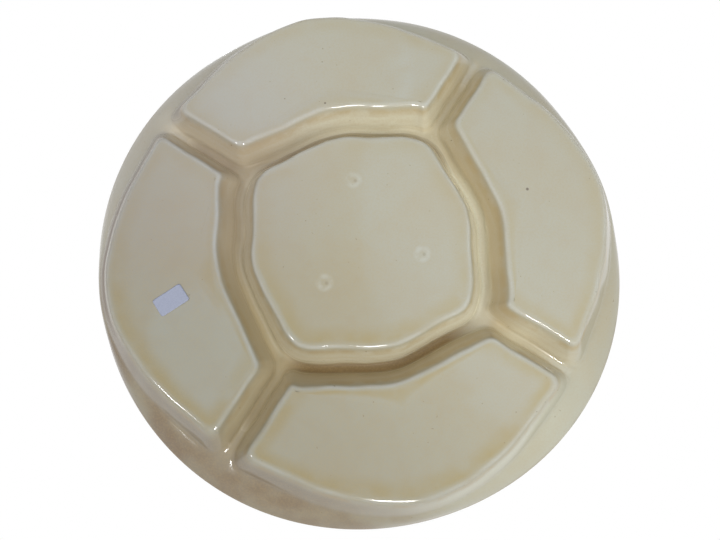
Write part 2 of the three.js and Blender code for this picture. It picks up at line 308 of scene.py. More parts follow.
# %% Rings of a well
HOLLOW_DEPTH, HOLLOW_BAND, HOLLOW_MIDDLE = 0.6, 0.97, 0.1
FLOOR_SHARES = np.array([0.06, 0.24, 0.42, 0.58, 0.72, 0.84, 0.92, 0.97])
UNDER_SIDE, WELL_SIDE, WELL_CORNER = 1.0, 0.0, 0.5


def wall_rings(guides, sections, pools, softness, side, steps):
    """Rings of x, y, z, reach, pooling and side: guides spread by each section point's reach."""
    reach, height = sections[..., 0], sections[..., 1]
    plan = spread(guides, reach)
    between = (np.roll(plan, 1, axis=1) + np.roll(plan, -1, axis=1)) / 2
    eased = softness * np.linspace(1, 0, len(plan))[:, None, None]
    plan = plan + (between - plan) * eased
    depth = np.clip(height / GROOVE_HEIGHT, 0, 1) * pools
    rows = [(row + np.roll(row, 1, axis=1)) / 2 for row in (height, reach, depth)]
    rows.append(np.full(height.shape, side))
    return touching_ring(np.concatenate([plan, np.stack(rows, axis=-1)], axis=-1), steps)


def floor_rings(edge_ring, depth):
    """The edge ring shrunk towards its centre, rising inside the standing band to the depth."""
    centre = edge_ring.mean(axis=0)
    share = FLOOR_SHARES[:, None, None]
    rings = centre + (edge_ring - centre) * share
    rise = np.clip((HOLLOW_BAND - share[..., 0]) / (HOLLOW_BAND - HOLLOW_MIDDLE), 0, 1)
    rings[..., 2] = edge_ring[:, 2] + depth * rise**2 * (3 - 2 * rise)
    inside = np.hypot(*(edge_ring - centre)[:, :2].T) * (1 - share[..., 0])
    rings[..., 3] = edge_ring[:, 3] - inside
    return rings


def well_surfaces(guides, sections, pools):
    """Under surface from the floor's middle to the groove, upper surface from the ridge to the floor."""
    under = wall_rings(guides, sections[0], pools, 0, UNDER_SIDE, FINE_STEPS)
    upper = wall_rings(guides, sections[1], pools, WELL_CORNER, WELL_SIDE, COARSE_STEPS)
    under = np.concatenate([floor_rings(under[0], HOLLOW_DEPTH), under])
    upper = np.concatenate([floor_rings(upper[0], 0), upper])
    return under, upper[::-1]


outer_pools = np.where(faces_rim, 0.0, 1.0)
wells = [well_surfaces(middle_guides, middle_sections, np.ones(len(middle_guides)))]
for quarter in range(QUARTERS):
    wells.append(well_surfaces(quarter_turned(well_guides, quarter), outer_sections, outer_pools))
print("an outer well's under surface is", wells[1][0].shape[:2], "points")

# %% [markdown]
# ## Rim and lip
# The rim starts on a closed line round all the wells, sags towards the table a little, and rolls
# over in a round lip. It could be spun from one profile, but the starting line is wavy and a fired
# lip is never quite round, so a profile is carried along the line instead and stretched to fit.
# Where a groove runs out into the rim, its bottom lifts a little to meet it.

# %% Line where the rim starts
RIM_MARGIN, RIM_SWING = 0.35, 2
END_RISE, END_LENGTH, END_WIDTH = 1.7, 10, 11

collar_quarter = spread(well_guides, outer_mouth + RIM_MARGIN)[FIRST_RIM_SIDE + 1 : last_rim_side + 1]
groove_end = (np.hypot(*collar_quarter[0]) + np.hypot(*collar_quarter[-1])) / 2 + RIM_SWING
collar_quarter = np.vstack([collar_quarter, polar(GROOVE_ANGLE + 90, groove_end)])
collar = np.concatenate([quarter_turned(collar_quarter, k) for k in range(QUARTERS)])
collar = touching_ring(collar, FINE_STEPS)


def end_rise(plan):
    """Rise of the groove bottoms where they run out into the rim: square of the share of the last
    stretch, times a bell across the groove."""
    rise = np.zeros(plan.shape[:-1])
    for quarter in range(QUARTERS):
        way = polar(GROOVE_ANGLE + 90 * quarter, 1)
        along = plan @ way
        across = plan @ np.array([-way[1], way[0]])
        share = np.clip(1 + (along - groove_end) / END_LENGTH, 0, 1)
        rise = rise + END_RISE * share**2 * np.exp(-((across / END_WIDTH) ** 2))
    return rise


print("grooves run out", round(groove_end, 1), "mm from the middle")

# %% Rim surface
LIP_RUNOUT = 0.97
LIP_WAVES = np.array([[1, 1, -134], [2, 0.73, 149], [3, 0.4, -68], [4, 0.71, 114]])
RIM_STEPS, LIP_STEPS = 9, 12


def rim_rings(collar):
    """Parabola up to the lip, half circle round it and parabola back, on each ray of the collar."""
    radius = np.hypot(*collar.T)
    angle = np.arctan2(collar[:, 1], collar[:, 0])
    times, share, phase = LIP_WAVES.T[:, :, None]
    runout = (share * np.cos(times * angle - np.radians(phase))).sum(axis=0)
    lip_radius = LIP_RADIUS + LIP_RUNOUT * runout
    lip_middle = np.stack([lip_radius - LIP_ROUND, np.full(len(radius), LIP_HEIGHT)], axis=1)
    ledge = RIM_MARGIN * rim_slope(radius)[:, 1]
    start = np.stack([radius, GROOVE_HEIGHT + ledge + end_rise(collar)], axis=1)
    back = start + [0, WALL]
    under_lip, over_lip = lip_middle + LIP_NORMAL * LIP_ROUND, lip_middle - LIP_NORMAL * LIP_ROUND
    under = parabola(start, rim_guide(start, under_lip), under_lip, RIM_STEPS)
    over = parabola(over_lip, rim_guide(back, over_lip), back, RIM_STEPS)
    roll = np.radians(LIP_TILT - 90) + np.linspace(0, np.pi, LIP_STEPS + 1)[1:-1, None]
    lip = lip_middle + LIP_ROUND * np.stack([np.cos(roll), np.sin(roll)], axis=-1)
    profile = np.concatenate([under, lip, over])
    plan = profile[..., 0, None] * (collar / radius[:, None])
    side = np.linspace(UNDER_SIDE, WELL_SIDE, len(profile))[:, None].round() * np.ones(len(radius))
    readings = [profile[..., 1], np.full(side.shape, RIM_REACH), 0 * side, side]
    return np.concatenate([plan, np.stack(readings, axis=-1)], axis=-1)


rim = rim_rings(collar)
lip_reach = np.hypot(rim[..., 0], rim[..., 1]).max()
print("rim is", rim.shape[:2], "points; lip reaches", round(lip_reach, 1), "mm")

# %% [markdown]
# ## One closed casting
# Walls and rim are grids. What is left is the narrow strip between them: the groove bottoms below
# and the partition tops above. It branches, so no grid fits it. It is filled with triangles
# instead, with a scatter of inner points so that it can curve where a groove runs out.

# %% Gather points and faces


class Patchwork:
    """Points and faces gathered from several surfaces."""

    def __init__(self):
        self.blocks, self.faces = [], []

    def points(self):
        """All points so far."""
        return np.concatenate(self.blocks)

    def add_points(self, block):
        """Numbers of the new points, in the block's own layout."""
        first = sum(len(done) for done in self.blocks)
        self.blocks.append(block.reshape(-1, block.shape[-1]))
        return first + np.arange(len(self.blocks[-1])).reshape(block.shape[:-1])

    def add_grid(self, rings):
        """Faces between each closed ring of points and the next."""
        number = self.add_points(rings)
        beside = np.roll(number, -1, axis=1)
        corners = [number[:-1], beside[:-1], beside[1:], number[1:]]
        self.faces += np.stack(corners, axis=-1).reshape(-1, 4).tolist()
        return number

    def add_fan(self, ring, faces_down):
        """Closes the smallest ring of a floor with triangles round one middle point."""
        middle = self.add_points(self.points()[ring].mean(axis=0)[None])
        fan = np.stack([ring, np.roll(ring, -1), np.full(len(ring), middle[0])], axis=1)
        self.faces += (fan[:, ::-1] if faces_down else fan).tolist()


casting = Patchwork()
rim_numbers = casting.add_grid(rim)
under_numbers = [casting.add_grid(under) for under, upper in wells]
upper_numbers = [casting.add_grid(upper) for under, upper in wells]
for under, upper in zip(under_numbers, upper_numbers):
    casting.add_fan(under[0], True)
    casting.add_fan(upper[-1], False)
print("wells and rim:", len(casting.points()), "points,", len(casting.faces), "faces")

# %% Fill the strips
STRIP_PITCH, MERGE_DISTANCE = 2.5, 1e-7


def is_inside(points, ring):
    """True where a line to the right of a point crosses the closed ring an odd number of times."""
    x, y = points[:, :1], points[:, 1:]
    x0, y0 = ring.T
    x1, y1 = np.roll(ring, -1, axis=0).T
    spans = (y0 > y) != (y1 > y)
    slope = (x1 - x0) / np.where(y1 == y0, 1, y1 - y0)
    return (spans & (x < x0 + (y - y0) * slope)).sum(axis=1) % 2 == 1


def in_strip(points, outer, holes):
    """True inside the outer ring and outside every hole."""
    inside = is_inside(points, outer)
    for hole in holes:
        inside &= ~is_inside(points, hole)
    return inside


def strip_lattice(rings):
    """Points of a square lattice in the strip, except those close to one of its rings."""
    axis = np.arange(-LIP_RADIUS, LIP_RADIUS, STRIP_PITCH)
    lattice = np.stack(np.meshgrid(axis, axis), axis=-1).reshape(-1, 2)
    lattice = lattice[in_strip(lattice, rings[0], rings[1:])]
    away = lattice[:, None] - np.concatenate(rings)
    return lattice[np.hypot(away[..., 0], away[..., 1]).min(axis=1) > STRIP_PITCH / 2]


def add_strip(outer, holes, level, side):
    """Triangles between an outer ring of points and several holes, with inner points on a lattice."""
    rings = [casting.points()[ring][:, :2] for ring in (outer, *holes)]
    lattice = strip_lattice(rings)
    flat = np.full(len(lattice), 1.0)
    readings = [level + end_rise(lattice), flat * RIM_REACH, flat, flat * side]
    inner_numbers = casting.add_points(np.column_stack([lattice, *readings]))
    numbers = np.concatenate([outer, *holes, inner_numbers])
    plan = np.concatenate([*rings, lattice])
    spots = np.split(np.arange(len(plan)), np.cumsum([len(ring) for ring in rings]))[:-1]
    edges = np.concatenate([np.stack([spot, np.roll(spot, -1)], axis=1) for spot in spots])
    corners = [Vector(corner) for corner in plan.tolist()]
    found = delaunay_2d_cdt(corners, edges.tolist(), [], 0, MERGE_DISTANCE)
    origin = np.array([source[0] for source in found[3]])
    faces = origin[np.array([list(face) for face in found[2]])]
    faces = faces[in_strip(plan[faces].mean(axis=1), rings[0], rings[1:])]
    a, b, c = plan[faces].transpose(1, 0, 2)
    keeps_order = (crossed(b - a, c - a) > 0) == (side == WELL_SIDE)
    faces = np.where(keeps_order[:, None], faces, faces[:, ::-1])
    casting.faces += numbers[faces].tolist()
    return inner_numbers


mouths = [under[-1] for under in under_numbers]
ridges = [upper[0] for upper in upper_numbers]
strip_numbers = np.concatenate([
    add_strip(rim_numbers[0], mouths, GROOVE_HEIGHT, UNDER_SIDE),
    add_strip(rim_numbers[-1], ridges, GROOVE_HEIGHT + WALL, WELL_SIDE),
])
print("casting:", len(casting.points()), "points,", len(casting.faces), "faces")

# %% [markdown]
# ## Hand of the maker
# A mould made by hand leaves edges that waver a little. Straight noise would roughen the surface,
# so long waves in several directions shift whole stretches of wall instead. They fade towards the
# lip, whose own run-out is already in its line.

# %% Wavering edges
WOBBLE, WOBBLE_TWIST, WOBBLE_CLEAR, WOBBLE_FADE = 0.15, 1.3, 4, 20
WOBBLE_WAVES = np.array([
    [0.16, 0.05, 0.4, 1.0], [-0.07, 0.17, 1.9, 0.9], [0.12, -0.15, 3.1, 0.8],
    [0.24, 0.1, 5.2, 0.5], [-0.13, 0.25, 0.9, 0.5], [0.21, -0.2, 2.6, 0.4],
])


def hand_wobble(points):
    """Shift in plan: sum of sine waves over x and y, the same for every height, less near the lip."""
    ahead, aside, phase, size = WOBBLE_WAVES.T
    waves = points[:, :1] * ahead + points[:, 1:2] * aside + phase
    sideways = (np.sin(waves) * size).sum(axis=1)
    endways = (np.cos(WOBBLE_TWIST * waves) * size).sum(axis=1)
    from_lip = LIP_RADIUS - WOBBLE_CLEAR - np.hypot(points[:, 0], points[:, 1])
    fade = np.clip(from_lip / WOBBLE_FADE, 0, 1)
    return WOBBLE * np.stack([sideways, endways], axis=1) * fade[:, None]


stored = casting.points()
placed = stored[:, :3].copy()
on_wall = np.ones(len(placed), dtype=bool)
on_wall[rim_numbers] = False
on_wall[strip_numbers] = False
rising = np.clip(placed[:, 2] / GROOVE_HEIGHT, 0, 1) ** 2
placed[:, 2] += np.where(on_wall, end_rise(placed[:, :2]) * rising, 0)
wobble = hand_wobble(placed)
placed[:, :2] += wobble
print("edges waver by up to", round(np.abs(wobble).max(), 2), "mm")

# %% [markdown]
# ## The dish as a mesh
# The mesh takes the points as they are, at the origin and unturned, so it lies in the same frame
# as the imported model. It also stores readings on its points, by which the glaze will find edges,
# grooves, rim and lip. Vertex colours could do the same, but distances can be reused for anything.

# %% Make the dish
RIM_START, RIM_BLEND = 26, 28


def make_piece(name, points, faces, readings):
    """Smooth mesh object from points in millimetres, with named readings stored on its points."""
    mesh = bpy.data.meshes.new(name)
    mesh.from_pydata((points * MM).tolist(), [], faces)
    for reading, values in readings.items():
        layer = mesh.attributes.new(reading, "FLOAT", "POINT")
        layer.data.foreach_set("value", np.ascontiguousarray(values, dtype=np.float32))
    mesh.polygons.foreach_set("use_smooth", np.ones(len(mesh.polygons), dtype=bool))
    mesh.update()
    piece = bpy.data.objects.new(name, mesh)
    scene.collection.objects.link(piece)
    return piece


radius = np.hypot(placed[:, 0], placed[:, 1])
rim_share = np.clip((radius - groove_end + RIM_START) / RIM_BLEND, 0, 1)
in_middle = np.zeros(len(placed))
in_middle[under_numbers[0]] = 1
on_lip = np.zeros(len(placed))
on_lip[rim_numbers[RIM_STEPS : RIM_STEPS + LIP_STEPS + 1]] = 1
dish = make_piece("dish", placed, casting.faces, {
    "from_edge": stored[:, 3],
    "pooling": stored[:, 4] * (1 - rim_share**2 * (3 - 2 * rim_share)),
    "under_side": stored[:, 5],
    "on_rim": rim_share * np.clip(placed[:, 2] / GROOVE_HEIGHT, 0, 1),
    "on_lip": on_lip,
    "in_middle": in_middle,
})
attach(dish, "root")
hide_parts("dish_body")
print("dish size in mm:", np.ptp(placed, axis=0).round(1))

# %% [markdown]
# ## Paper label
# A shop stuck a small white paper label below the left-hand well. It could be painted on as a
# colour, but paper has a thickness and lifts at its corners, and that catches light. It is a thin
# card: one parameter runs round its rounded outline, the other from the middle of the glued face
# over the cut edge to the middle of the free face. It was written on; here it stays bare.

# %% Label
LABEL_LENGTH, LABEL_WIDTH, LABEL_THICKNESS = 18.6, 11.6, 0.13
LABEL_SHARE, LABEL_DIRECTION, LABEL_TURN = 0.7, -18.7, -34.5
LABEL_SQUARENESS, LABEL_CURL, LABEL_GLUE = 14, 0.16, 0.03
LABEL_TURNS, LABEL_RINGS, LABEL_MIDDLE, LABEL_REACH = 96, 12, 0.04, 4


def label_rings():
    """Rounded outline (|x/a|^n + |y/b|^n = 1) shrunk to the middle on both faces, lifting off with the
    square of the distance from the middle."""
    way = np.linspace(0, 2 * np.pi, LABEL_TURNS, endpoint=False)
    across = np.abs(np.cos(way) / (LABEL_LENGTH / 2)) ** LABEL_SQUARENESS
    along = np.abs(np.sin(way) / (LABEL_WIDTH / 2)) ** LABEL_SQUARENESS
    outline = (across + along) ** (-1 / LABEL_SQUARENESS)
    shares = np.linspace(LABEL_MIDDLE, 1, LABEL_RINGS)
    shares = np.concatenate([shares, shares[::-1]])[:, None]
    face = np.repeat([0.0, 1.0], LABEL_RINGS)[:, None]
    radius = outline * shares
    x, y = radius * np.cos(way), radius * np.sin(way)
    lift = LABEL_CURL * (radius / LABEL_LENGTH * 2) ** 2
    turn = np.radians(LABEL_TURN)
    turned = [x * np.cos(turn) - y * np.sin(turn), x * np.sin(turn) + y * np.cos(turn)]
    plan = np.stack(turned, axis=-1) + polar(LABEL_DIRECTION, LABEL_SHARE * LIP_RADIUS)
    is_near = np.hypot(*(placed[:, :2] - plan[0, 0]).T) < LABEL_REACH
    level = placed[is_near, 2].min() - LABEL_GLUE - face * LABEL_THICKNESS - lift
    return np.concatenate([plan, level[..., None]], axis=-1)


card = Patchwork()
card_numbers = card.add_grid(label_rings()[::-1])
card.add_fan(card_numbers[0], True)
card.add_fan(card_numbers[-1], False)
label = make_piece("label", card.points(), card.faces, {})
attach(label, "root")
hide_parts("price_label")
print("label:", len(card.faces), "faces")

# %% [markdown]
# ## Writing materials
# A material is a net of small nodes. Written out one by one they fill pages, so a few short
# methods add the common ones: arithmetic, ramps, hills, mixtures and clouds. One of them lays a
# coat of colour over the colour so far, the way a painter glazes layer on layer. Colours are
# given as the levels that a picture shows and turned into amounts of light.

# %% Nodes


class Wiring:
    """Short ways to add nodes to a material or to the world."""

    def __init__(self, owner):
        owner.use_nodes = True
        self.owner = owner
        self.nodes = owner.node_tree.nodes

    def feed(self, socket, value):
        """Links a socket to another one, or sets it."""
        if isinstance(value, bpy.types.NodeSocket):
            self.owner.node_tree.links.new(value, socket)
        else:
            socket.default_value = value

    def add(self, kind, *values, **settings):
        """New node with its settings, and values for its first inputs."""
        node = self.nodes.new(kind)
        for name, setting in settings.items():
            setattr(node, name, setting)
        for socket, value in zip(node.inputs, values):
            self.feed(socket, value)
        return node

    def calc(self, operation, *values):
        """One step of arithmetic."""
        return self.add("ShaderNodeMath", *values, operation=operation).outputs[0]

    def times(self, product, *others):
        """Product of several values."""
        for other in others:
            product = self.calc("MULTIPLY", product, other)
        return product

    def rest(self, value):
        """What a value leaves of 1."""
        return self.calc("SUBTRACT", 1.0, value)

    def ramp(self, value, low, high):
        """0 at low, 1 at high, smooth between."""
        limits = (low, high, 0.0, 1.0)
        return self.add("ShaderNodeMapRange", value, *limits, interpolation_type="SMOOTHSTEP").outputs[0]

    def hill(self, value, low, top, far):
        """0 at low, 1 at top, 0 again at far."""
        return self.times(self.ramp(value, low, top), self.ramp(value, far, top))


print("a material's arithmetic is ready")

# %% Colours and clouds


def paint(red, green, blue):
    """Colour for a shader from the levels, 0 to 255, that a picture shows."""
    level = np.array([red, green, blue]) / 255
    linear = np.where(level > 0.04045, ((level + 0.055) / 1.055) ** 2.4, level / 12.92)
    return (*linear.tolist(), 1.0)


class Finish(Wiring):
    """A material with a colour that is built up in coats."""

    def __init__(self, name, colour):
        super().__init__(bpy.data.materials.new(name))
        self.surface = self.nodes["Principled BSDF"].inputs
        self.place = self.add("ShaderNodeTexCoord").outputs["Object"]
        self.colour = colour

    def mix(self, share, first, second):
        """First colour where the share is 0, second where it is 1."""
        node = self.add("ShaderNodeMix", data_type="RGBA")
        for socket, value in zip((node.inputs[0], *node.inputs[6:8]), (share, first, second)):
            self.feed(socket, value)
        return node.outputs[2]

    def coat(self, colour, *shares):
        """Lays a colour over the colour so far, by the product of the shares."""
        self.colour = self.mix(self.times(*shares), self.colour, colour)

    def clouds(self, place, scale, detail):
        """Cloudy values round 0.5."""
        node = self.add("ShaderNodeTexNoise")
        for name, value in (("Vector", place), ("Scale", scale), ("Detail", detail)):
            self.feed(node.inputs[name], value)
        return node.outputs[0]

    def noise(self, size, detail=3.0):
        """Cloudy values with features of about the size in millimetres."""
        return self.clouds(self.place, 1 / (size * MM), detail)

    def lines(self, value, size, slow):
        """Cloudy values in lines along which a value in millimetres stays the same, changing slowly."""
        drift = self.times(self.noise(slow, 1.0), 4.0)
        row = self.add("ShaderNodeCombineXYZ", self.calc("DIVIDE", value, size), drift, 0.0)
        return self.clouds(row.outputs[0], 1.0, 2.0)

    def reading(self, name):
        """Values stored on the points."""
        return self.add("ShaderNodeAttribute", attribute_name=name).outputs["Fac"]

    def across(self, way, low, high):
        """0 at low and 1 at high along a direction, both in millimetres from the dish's middle."""
        node = self.add("ShaderNodeVectorMath", self.place, way, operation="DOT_PRODUCT")
        return self.ramp(node.outputs["Value"], low * MM, high * MM)

    def distance(self, x, y):
        """Distance in plan from a point, in millimetres."""
        to_plan = (1 / MM, 1 / MM, 0.0)
        plan = self.add("ShaderNodeVectorMath", self.place, to_plan, operation="MULTIPLY")
        node = self.add("ShaderNodeVectorMath", plan.outputs[0], (x, y, 0.0), operation="DISTANCE")
        return node.outputs["Value"]


print("level 186 of a picture is", round(paint(186, 186, 186)[0], 2), "of white paper's light")

# %% [markdown]
# ## Glaze on the floors
# Cream glaze is a coat of glass over pale clay, so it is never quite one colour: broad warm clouds
# drift over it, and small tan ones mottle its underside. All that follows is about the shape as
# well, thin over edges and thick in grooves, so the colours read the distances stored on the
# points instead of a painted picture.

# %% Base colour
CREAM, WARM, MOTTLE = paint(187, 182, 161), paint(187, 178, 152), paint(184, 166, 132)

glaze = Finish("cream glaze", CREAM)
from_edge = glaze.reading("from_edge")
under_side = glaze.reading("under_side")
glaze.coat(WARM, glaze.ramp(glaze.noise(70), 0.35, 0.75))
glaze.coat(MOTTLE, glaze.ramp(glaze.noise(13), 0.42, 0.72), under_side, 0.16)
print("floors use", len(glaze.nodes), "nodes")

# %% [markdown]
# ## Glaze in the grooves
# Glaze runs down into the grooves and pools there, where it turns to a warm tan. Walls that face
# the lamps are painted pale as light: below the far well, on the middle well's walls and at one end
# of the straight grooves. Fine streaks along the walls show how it ran.

# %% Pooled glaze
POOL, DEEP = paint(196, 182, 150), paint(184, 166, 122)
LIT_PALE, STAIN = paint(222, 217, 194), paint(186, 160, 108)

stored_pooling = glaze.reading("pooling")
pooling = glaze.times(stored_pooling, under_side)
# Painted light: groove walls that face the lamps are mixed towards a pale colour.
lit_far_wall = glaze.times(glaze.ramp(glaze.distance(0, 100), 85, 30), 0.8)
in_middle = glaze.reading("in_middle")
lit_middle_wall = glaze.calc("MULTIPLY_ADD", glaze.across((-1.0, 0.2, 0.0), -60, 80), 0.45, 0.5)
lit_middle_wall = glaze.times(lit_middle_wall, in_middle)
lit_spokes = glaze.calc("MULTIPLY_ADD", glaze.across((-0.85, -0.53, 0.0), 40, 130), 0.4, 0.22)
lit_spokes = glaze.times(lit_spokes, glaze.ramp(glaze.distance(0, 0), 85, 115))
lit_walls = glaze.calc("MAXIMUM", glaze.calc("MAXIMUM", lit_far_wall, lit_middle_wall), lit_spokes)
streaks = glaze.ramp(glaze.lines(from_edge, 1.6, 30), 0.35, 0.75)
wall_colour = glaze.mix(glaze.times(streaks, 0.2), glaze.mix(lit_walls, POOL, LIT_PALE), STAIN)
glaze.coat(wall_colour, glaze.ramp(pooling, 0.0, 0.35))
glaze.coat(DEEP, glaze.ramp(pooling, 0.6, 1.0), 0.2)
print("with the grooves", len(glaze.nodes), "nodes")

# %% [markdown]
# ## Shade in the grooves
# The lowest part of a groove is its foot. It is painted dark as shade on one side of the middle
# well, a little in two of the straight grooves, and on the middle well's far wall. On another side
# the foot is painted pale as light. Two places on the outer wells' walls are painted browner.

# %% Groove feet
DARK_BROWN = paint(112, 82, 32)
BROWNER = ((-87, -34), (-111, -76))

near_middle = glaze.ramp(glaze.distance(0, 0), 100, 90)
foot = glaze.ramp(pooling, 0.88, 1.0)
below = glaze.times(near_middle, glaze.across((-0.15, -1.0, 0.0), 40, 62))
below = glaze.times(below, glaze.across((-1.0, 0.0, 0.0), -54, -32))
aside = glaze.calc("MULTIPLY_ADD", glaze.rest(near_middle), 0.32, 0.05)
aside = glaze.times(aside, glaze.across((1.0, 0.0, 0.0), 40, 80))
# Painted shade at the groove foot: below the middle well and in two straight grooves.
glaze.coat(DARK_BROWN, foot, glaze.calc("MAXIMUM", glaze.times(below, 0.8), aside))
# Painted light at the groove foot on the other side of the middle well.
lit_foot = glaze.times(glaze.ramp(pooling, 0.72, 0.95), near_middle)
glaze.coat(LIT_PALE, lit_foot, glaze.across((-1.0, 0.0, 0.0), 50, 75), 0.65)
# Painted shade on the middle well's far wall.
far_middle = glaze.times(glaze.ramp(in_middle, 0.5, 1.0), glaze.across((0.0, 1.0, 0.0), 45, 62))
glaze.coat(DARK_BROWN, glaze.ramp(pooling, 0.2, 0.6), far_middle, 0.4)
outer_side = glaze.rest(in_middle)
for x, y in BROWNER:
    near = glaze.times(glaze.ramp(glaze.distance(x, y), 26, 8), outer_side)
    glaze.coat(DARK_BROWN, glaze.ramp(pooling, 0.05, 0.3), near, 0.16)
print("with the dirt", len(glaze.nodes), "nodes")

# %% [markdown]
# ## Glaze on the rim and outer walls
# The side that faces the soft light is painted pale, as light. The opposite side is painted brown,
# partly as stain and partly as shade, and the rest of the rim is a little cooler than the floors.
# On top of the dish the glaze breaks to near white over the partitions.

# %% Rim and outer walls
RIM_LIT, RIM_COOL, RIM_STAIN_AND_SHADE = paint(219, 218, 196), paint(184, 192, 184), paint(122, 100, 76)
BREAK_AND_PAINTED_LIGHT = paint(210, 211, 204)
SHADE_WAY = (0.75, -0.65, 0.0)

on_rim = glaze.times(glaze.reading("on_rim"), under_side)
wall_band = glaze.hill(from_edge, 0.5, 5.0, 12.4)
outer_wall = glaze.times(wall_band, glaze.ramp(pooling, 0.3, 0.0), under_side)
# Painted light: the rim and outer walls on the side of the soft light are mixed towards pale.
lit_spot = glaze.ramp(glaze.distance(-90, -140), 100, 25)
lit_share = glaze.calc("MAXIMUM", glaze.times(on_rim, 0.4), glaze.times(outer_wall, 0.75))
stain_and_shade_side = glaze.across(SHADE_WAY, 55, 130)
glaze.coat(RIM_LIT, lit_spot, lit_share)
glaze.coat(RIM_COOL, on_rim, glaze.across((-0.75, 0.65, 0.0), -60, 50), 0.18)
# Brown on the outer walls of one side: partly stain, partly painted shade.
glaze.coat(RIM_STAIN_AND_SHADE, outer_wall, stain_and_shade_side, 0.45)
glaze.coat(BREAK_AND_PAINTED_LIGHT, glaze.calc("SUBTRACT", stored_pooling, pooling), 0.4)
print("with the rim", len(glaze.nodes), "nodes")

# %% [markdown]
# ## Edges and stains
# Glaze is thinnest where it breaks over a floor's edge, so edges are painted nearly white, partly
# as that break and partly as painted reflection. Dirt settles just beside them: brown stains follow
# the edge on the wall and, wider, on the floor, more on one side than on the other, and a faint
# band runs below the lip.

# %% Edges and stains
EDGE_STAIN = paint(182, 162, 106)

beside = glaze.hill(from_edge, 0.6, 2.0, 4.6)
inside = glaze.hill(from_edge, -16.0, -4.5, -1.2)
on_edge = glaze.hill(from_edge, -2.4, -0.4, 1.2)
below_lip = glaze.hill(glaze.distance(0, 0), 150, 162, 169)
glaze.coat(STAIN, beside, glaze.ramp(glaze.noise(12), 0.32, 0.62), under_side, 0.45)
one_side = glaze.calc("MULTIPLY_ADD", glaze.across((0.1, -1.0, 0.0), -10, 65), 0.4, 0.28)
stain_patches = glaze.times(glaze.ramp(glaze.noise(20), 0.1, 0.7), one_side)
glaze.coat(EDGE_STAIN, inside, stain_patches, under_side)
glaze.coat(STAIN, below_lip, glaze.ramp(glaze.noise(30), 0.3, 0.7), under_side, 0.14)
# Floor edges mixed towards near white: glaze break together with painted reflection.
glaze.coat(BREAK_AND_PAINTED_LIGHT, on_edge, glaze.ramp(glaze.noise(24), 0.2, 0.62), under_side, 0.5)
print("with edges and stains", len(glaze.nodes), "nodes")

# %% [markdown]
# ## Painted shade and far sides
# One side of the dish is painted darker as shade, browner in its grooves and, with stains, on its
# rim. The far left has a faint painted lavender reflection, the far rim is painted lighter as light,
# and the far outer walls are painted darker as shadow. The lip is worn, and a fine grain lies over
# everything.

# %% Shade and wear
SHADE, GROOVE_SHADE = paint(64, 58, 52), paint(76, 56, 20)
SHEEN_LAVENDER, SHADOW_PURPLE = paint(178, 174, 222), paint(124, 113, 114)
FAR_WAY = (0.8, 0.6, 0.0)

on_lip = glaze.reading("on_lip")
far_rim = glaze.times(on_rim, glaze.across(FAR_WAY, 85, 140))
far_wall = glaze.times(outer_wall, glaze.across(FAR_WAY, 60, 110))
not_far = glaze.rest(far_rim)
less_in_grooves = glaze.rest(glaze.times(pooling, 0.22))
shade = glaze.mix(glaze.ramp(pooling, 0.05, 0.4), SHADE, GROOVE_SHADE)
rim_patches = glaze.calc("ADD", glaze.ramp(glaze.noise(26), 0.36, 0.7), 0.5)
# Painted shade: the underside darkens towards one side, browner in the grooves.
glaze.coat(shade, glaze.across(SHADE_WAY, -60, 140), under_side, not_far, less_in_grooves, 0.34)
# Painted reflection: a faint lavender sheen on the far left of the underside.
glaze.coat(SHEEN_LAVENDER, glaze.ramp(glaze.distance(115, 60), 130, 40), under_side, 0.09)
# Painted light: the far rim is mixed towards near white.
glaze.coat(BREAK_AND_PAINTED_LIGHT, far_rim, 0.12)
# Painted shadow: a dark line on the outer walls of the far side.
glaze.coat(SHADOW_PURPLE, far_wall, 0.45)
# Brown patches on the rim of one side and a brown spot on its lower rim: partly stain, partly painted
# shade.
glaze.coat(RIM_STAIN_AND_SHADE, rim_patches, on_rim, not_far, stain_and_shade_side, 0.5)
glaze.coat(RIM_STAIN_AND_SHADE, on_rim, glaze.ramp(glaze.distance(92, -134), 55, 10), 0.35)
glaze.coat(RIM_STAIN_AND_SHADE, on_lip, glaze.ramp(glaze.noise(18), 0.3, 0.65), 0.4)
glaze.coat(STAIN, glaze.ramp(glaze.noise(1.2, 2.0), 0.35, 0.75), 0.14)
print("with shade and wear", len(glaze.nodes), "nodes")

# %% [markdown]
# ## Marks of making
# The dish was fired on three pointed props, which leave a small pale ring with a dark pinhole
# each. A few iron specks burnt through the glaze elsewhere. Each mark is a spot at a known
# place, so its distance is measured there and turned into a ring or a dot.

# %% Prop marks and specks
PROPS = ((5.3, 37.3), (-36.3, -9.5), (22.5, -27.3))
SPECKS = ((-103.2, 32.3, 1.0), (23.4, 89.1, 0.7))
PALE, DARK = paint(204, 206, 197), paint(104, 84, 60)

ring_share = glaze.times(glaze.ramp(glaze.noise(6), 0.25, 0.65), 0.4)
for x, y in PROPS:
    away = glaze.times(glaze.distance(x, y), under_side)
    glaze.coat(PALE, glaze.hill(away, 0.8, 3.6, 6.4), ring_share)
    glaze.coat(DARK, glaze.ramp(glaze.distance(x - 1.2, y - 0.4), 1.5, 0.5), under_side, 0.2)
for x, y, size in SPECKS:
    speck = glaze.ramp(glaze.distance(x, y), size * 1.3, size * 0.5)
    glaze.coat(DARK, speck, under_side, 0.8)
glaze.coat(DARK, glaze.ramp(glaze.noise(2.4, 1.0), 0.765, 0.81), 0.4)
glaze.feed(glaze.surface["Base Color"], glaze.colour)
print(len(PROPS), "prop marks and", len(SPECKS), "specks")

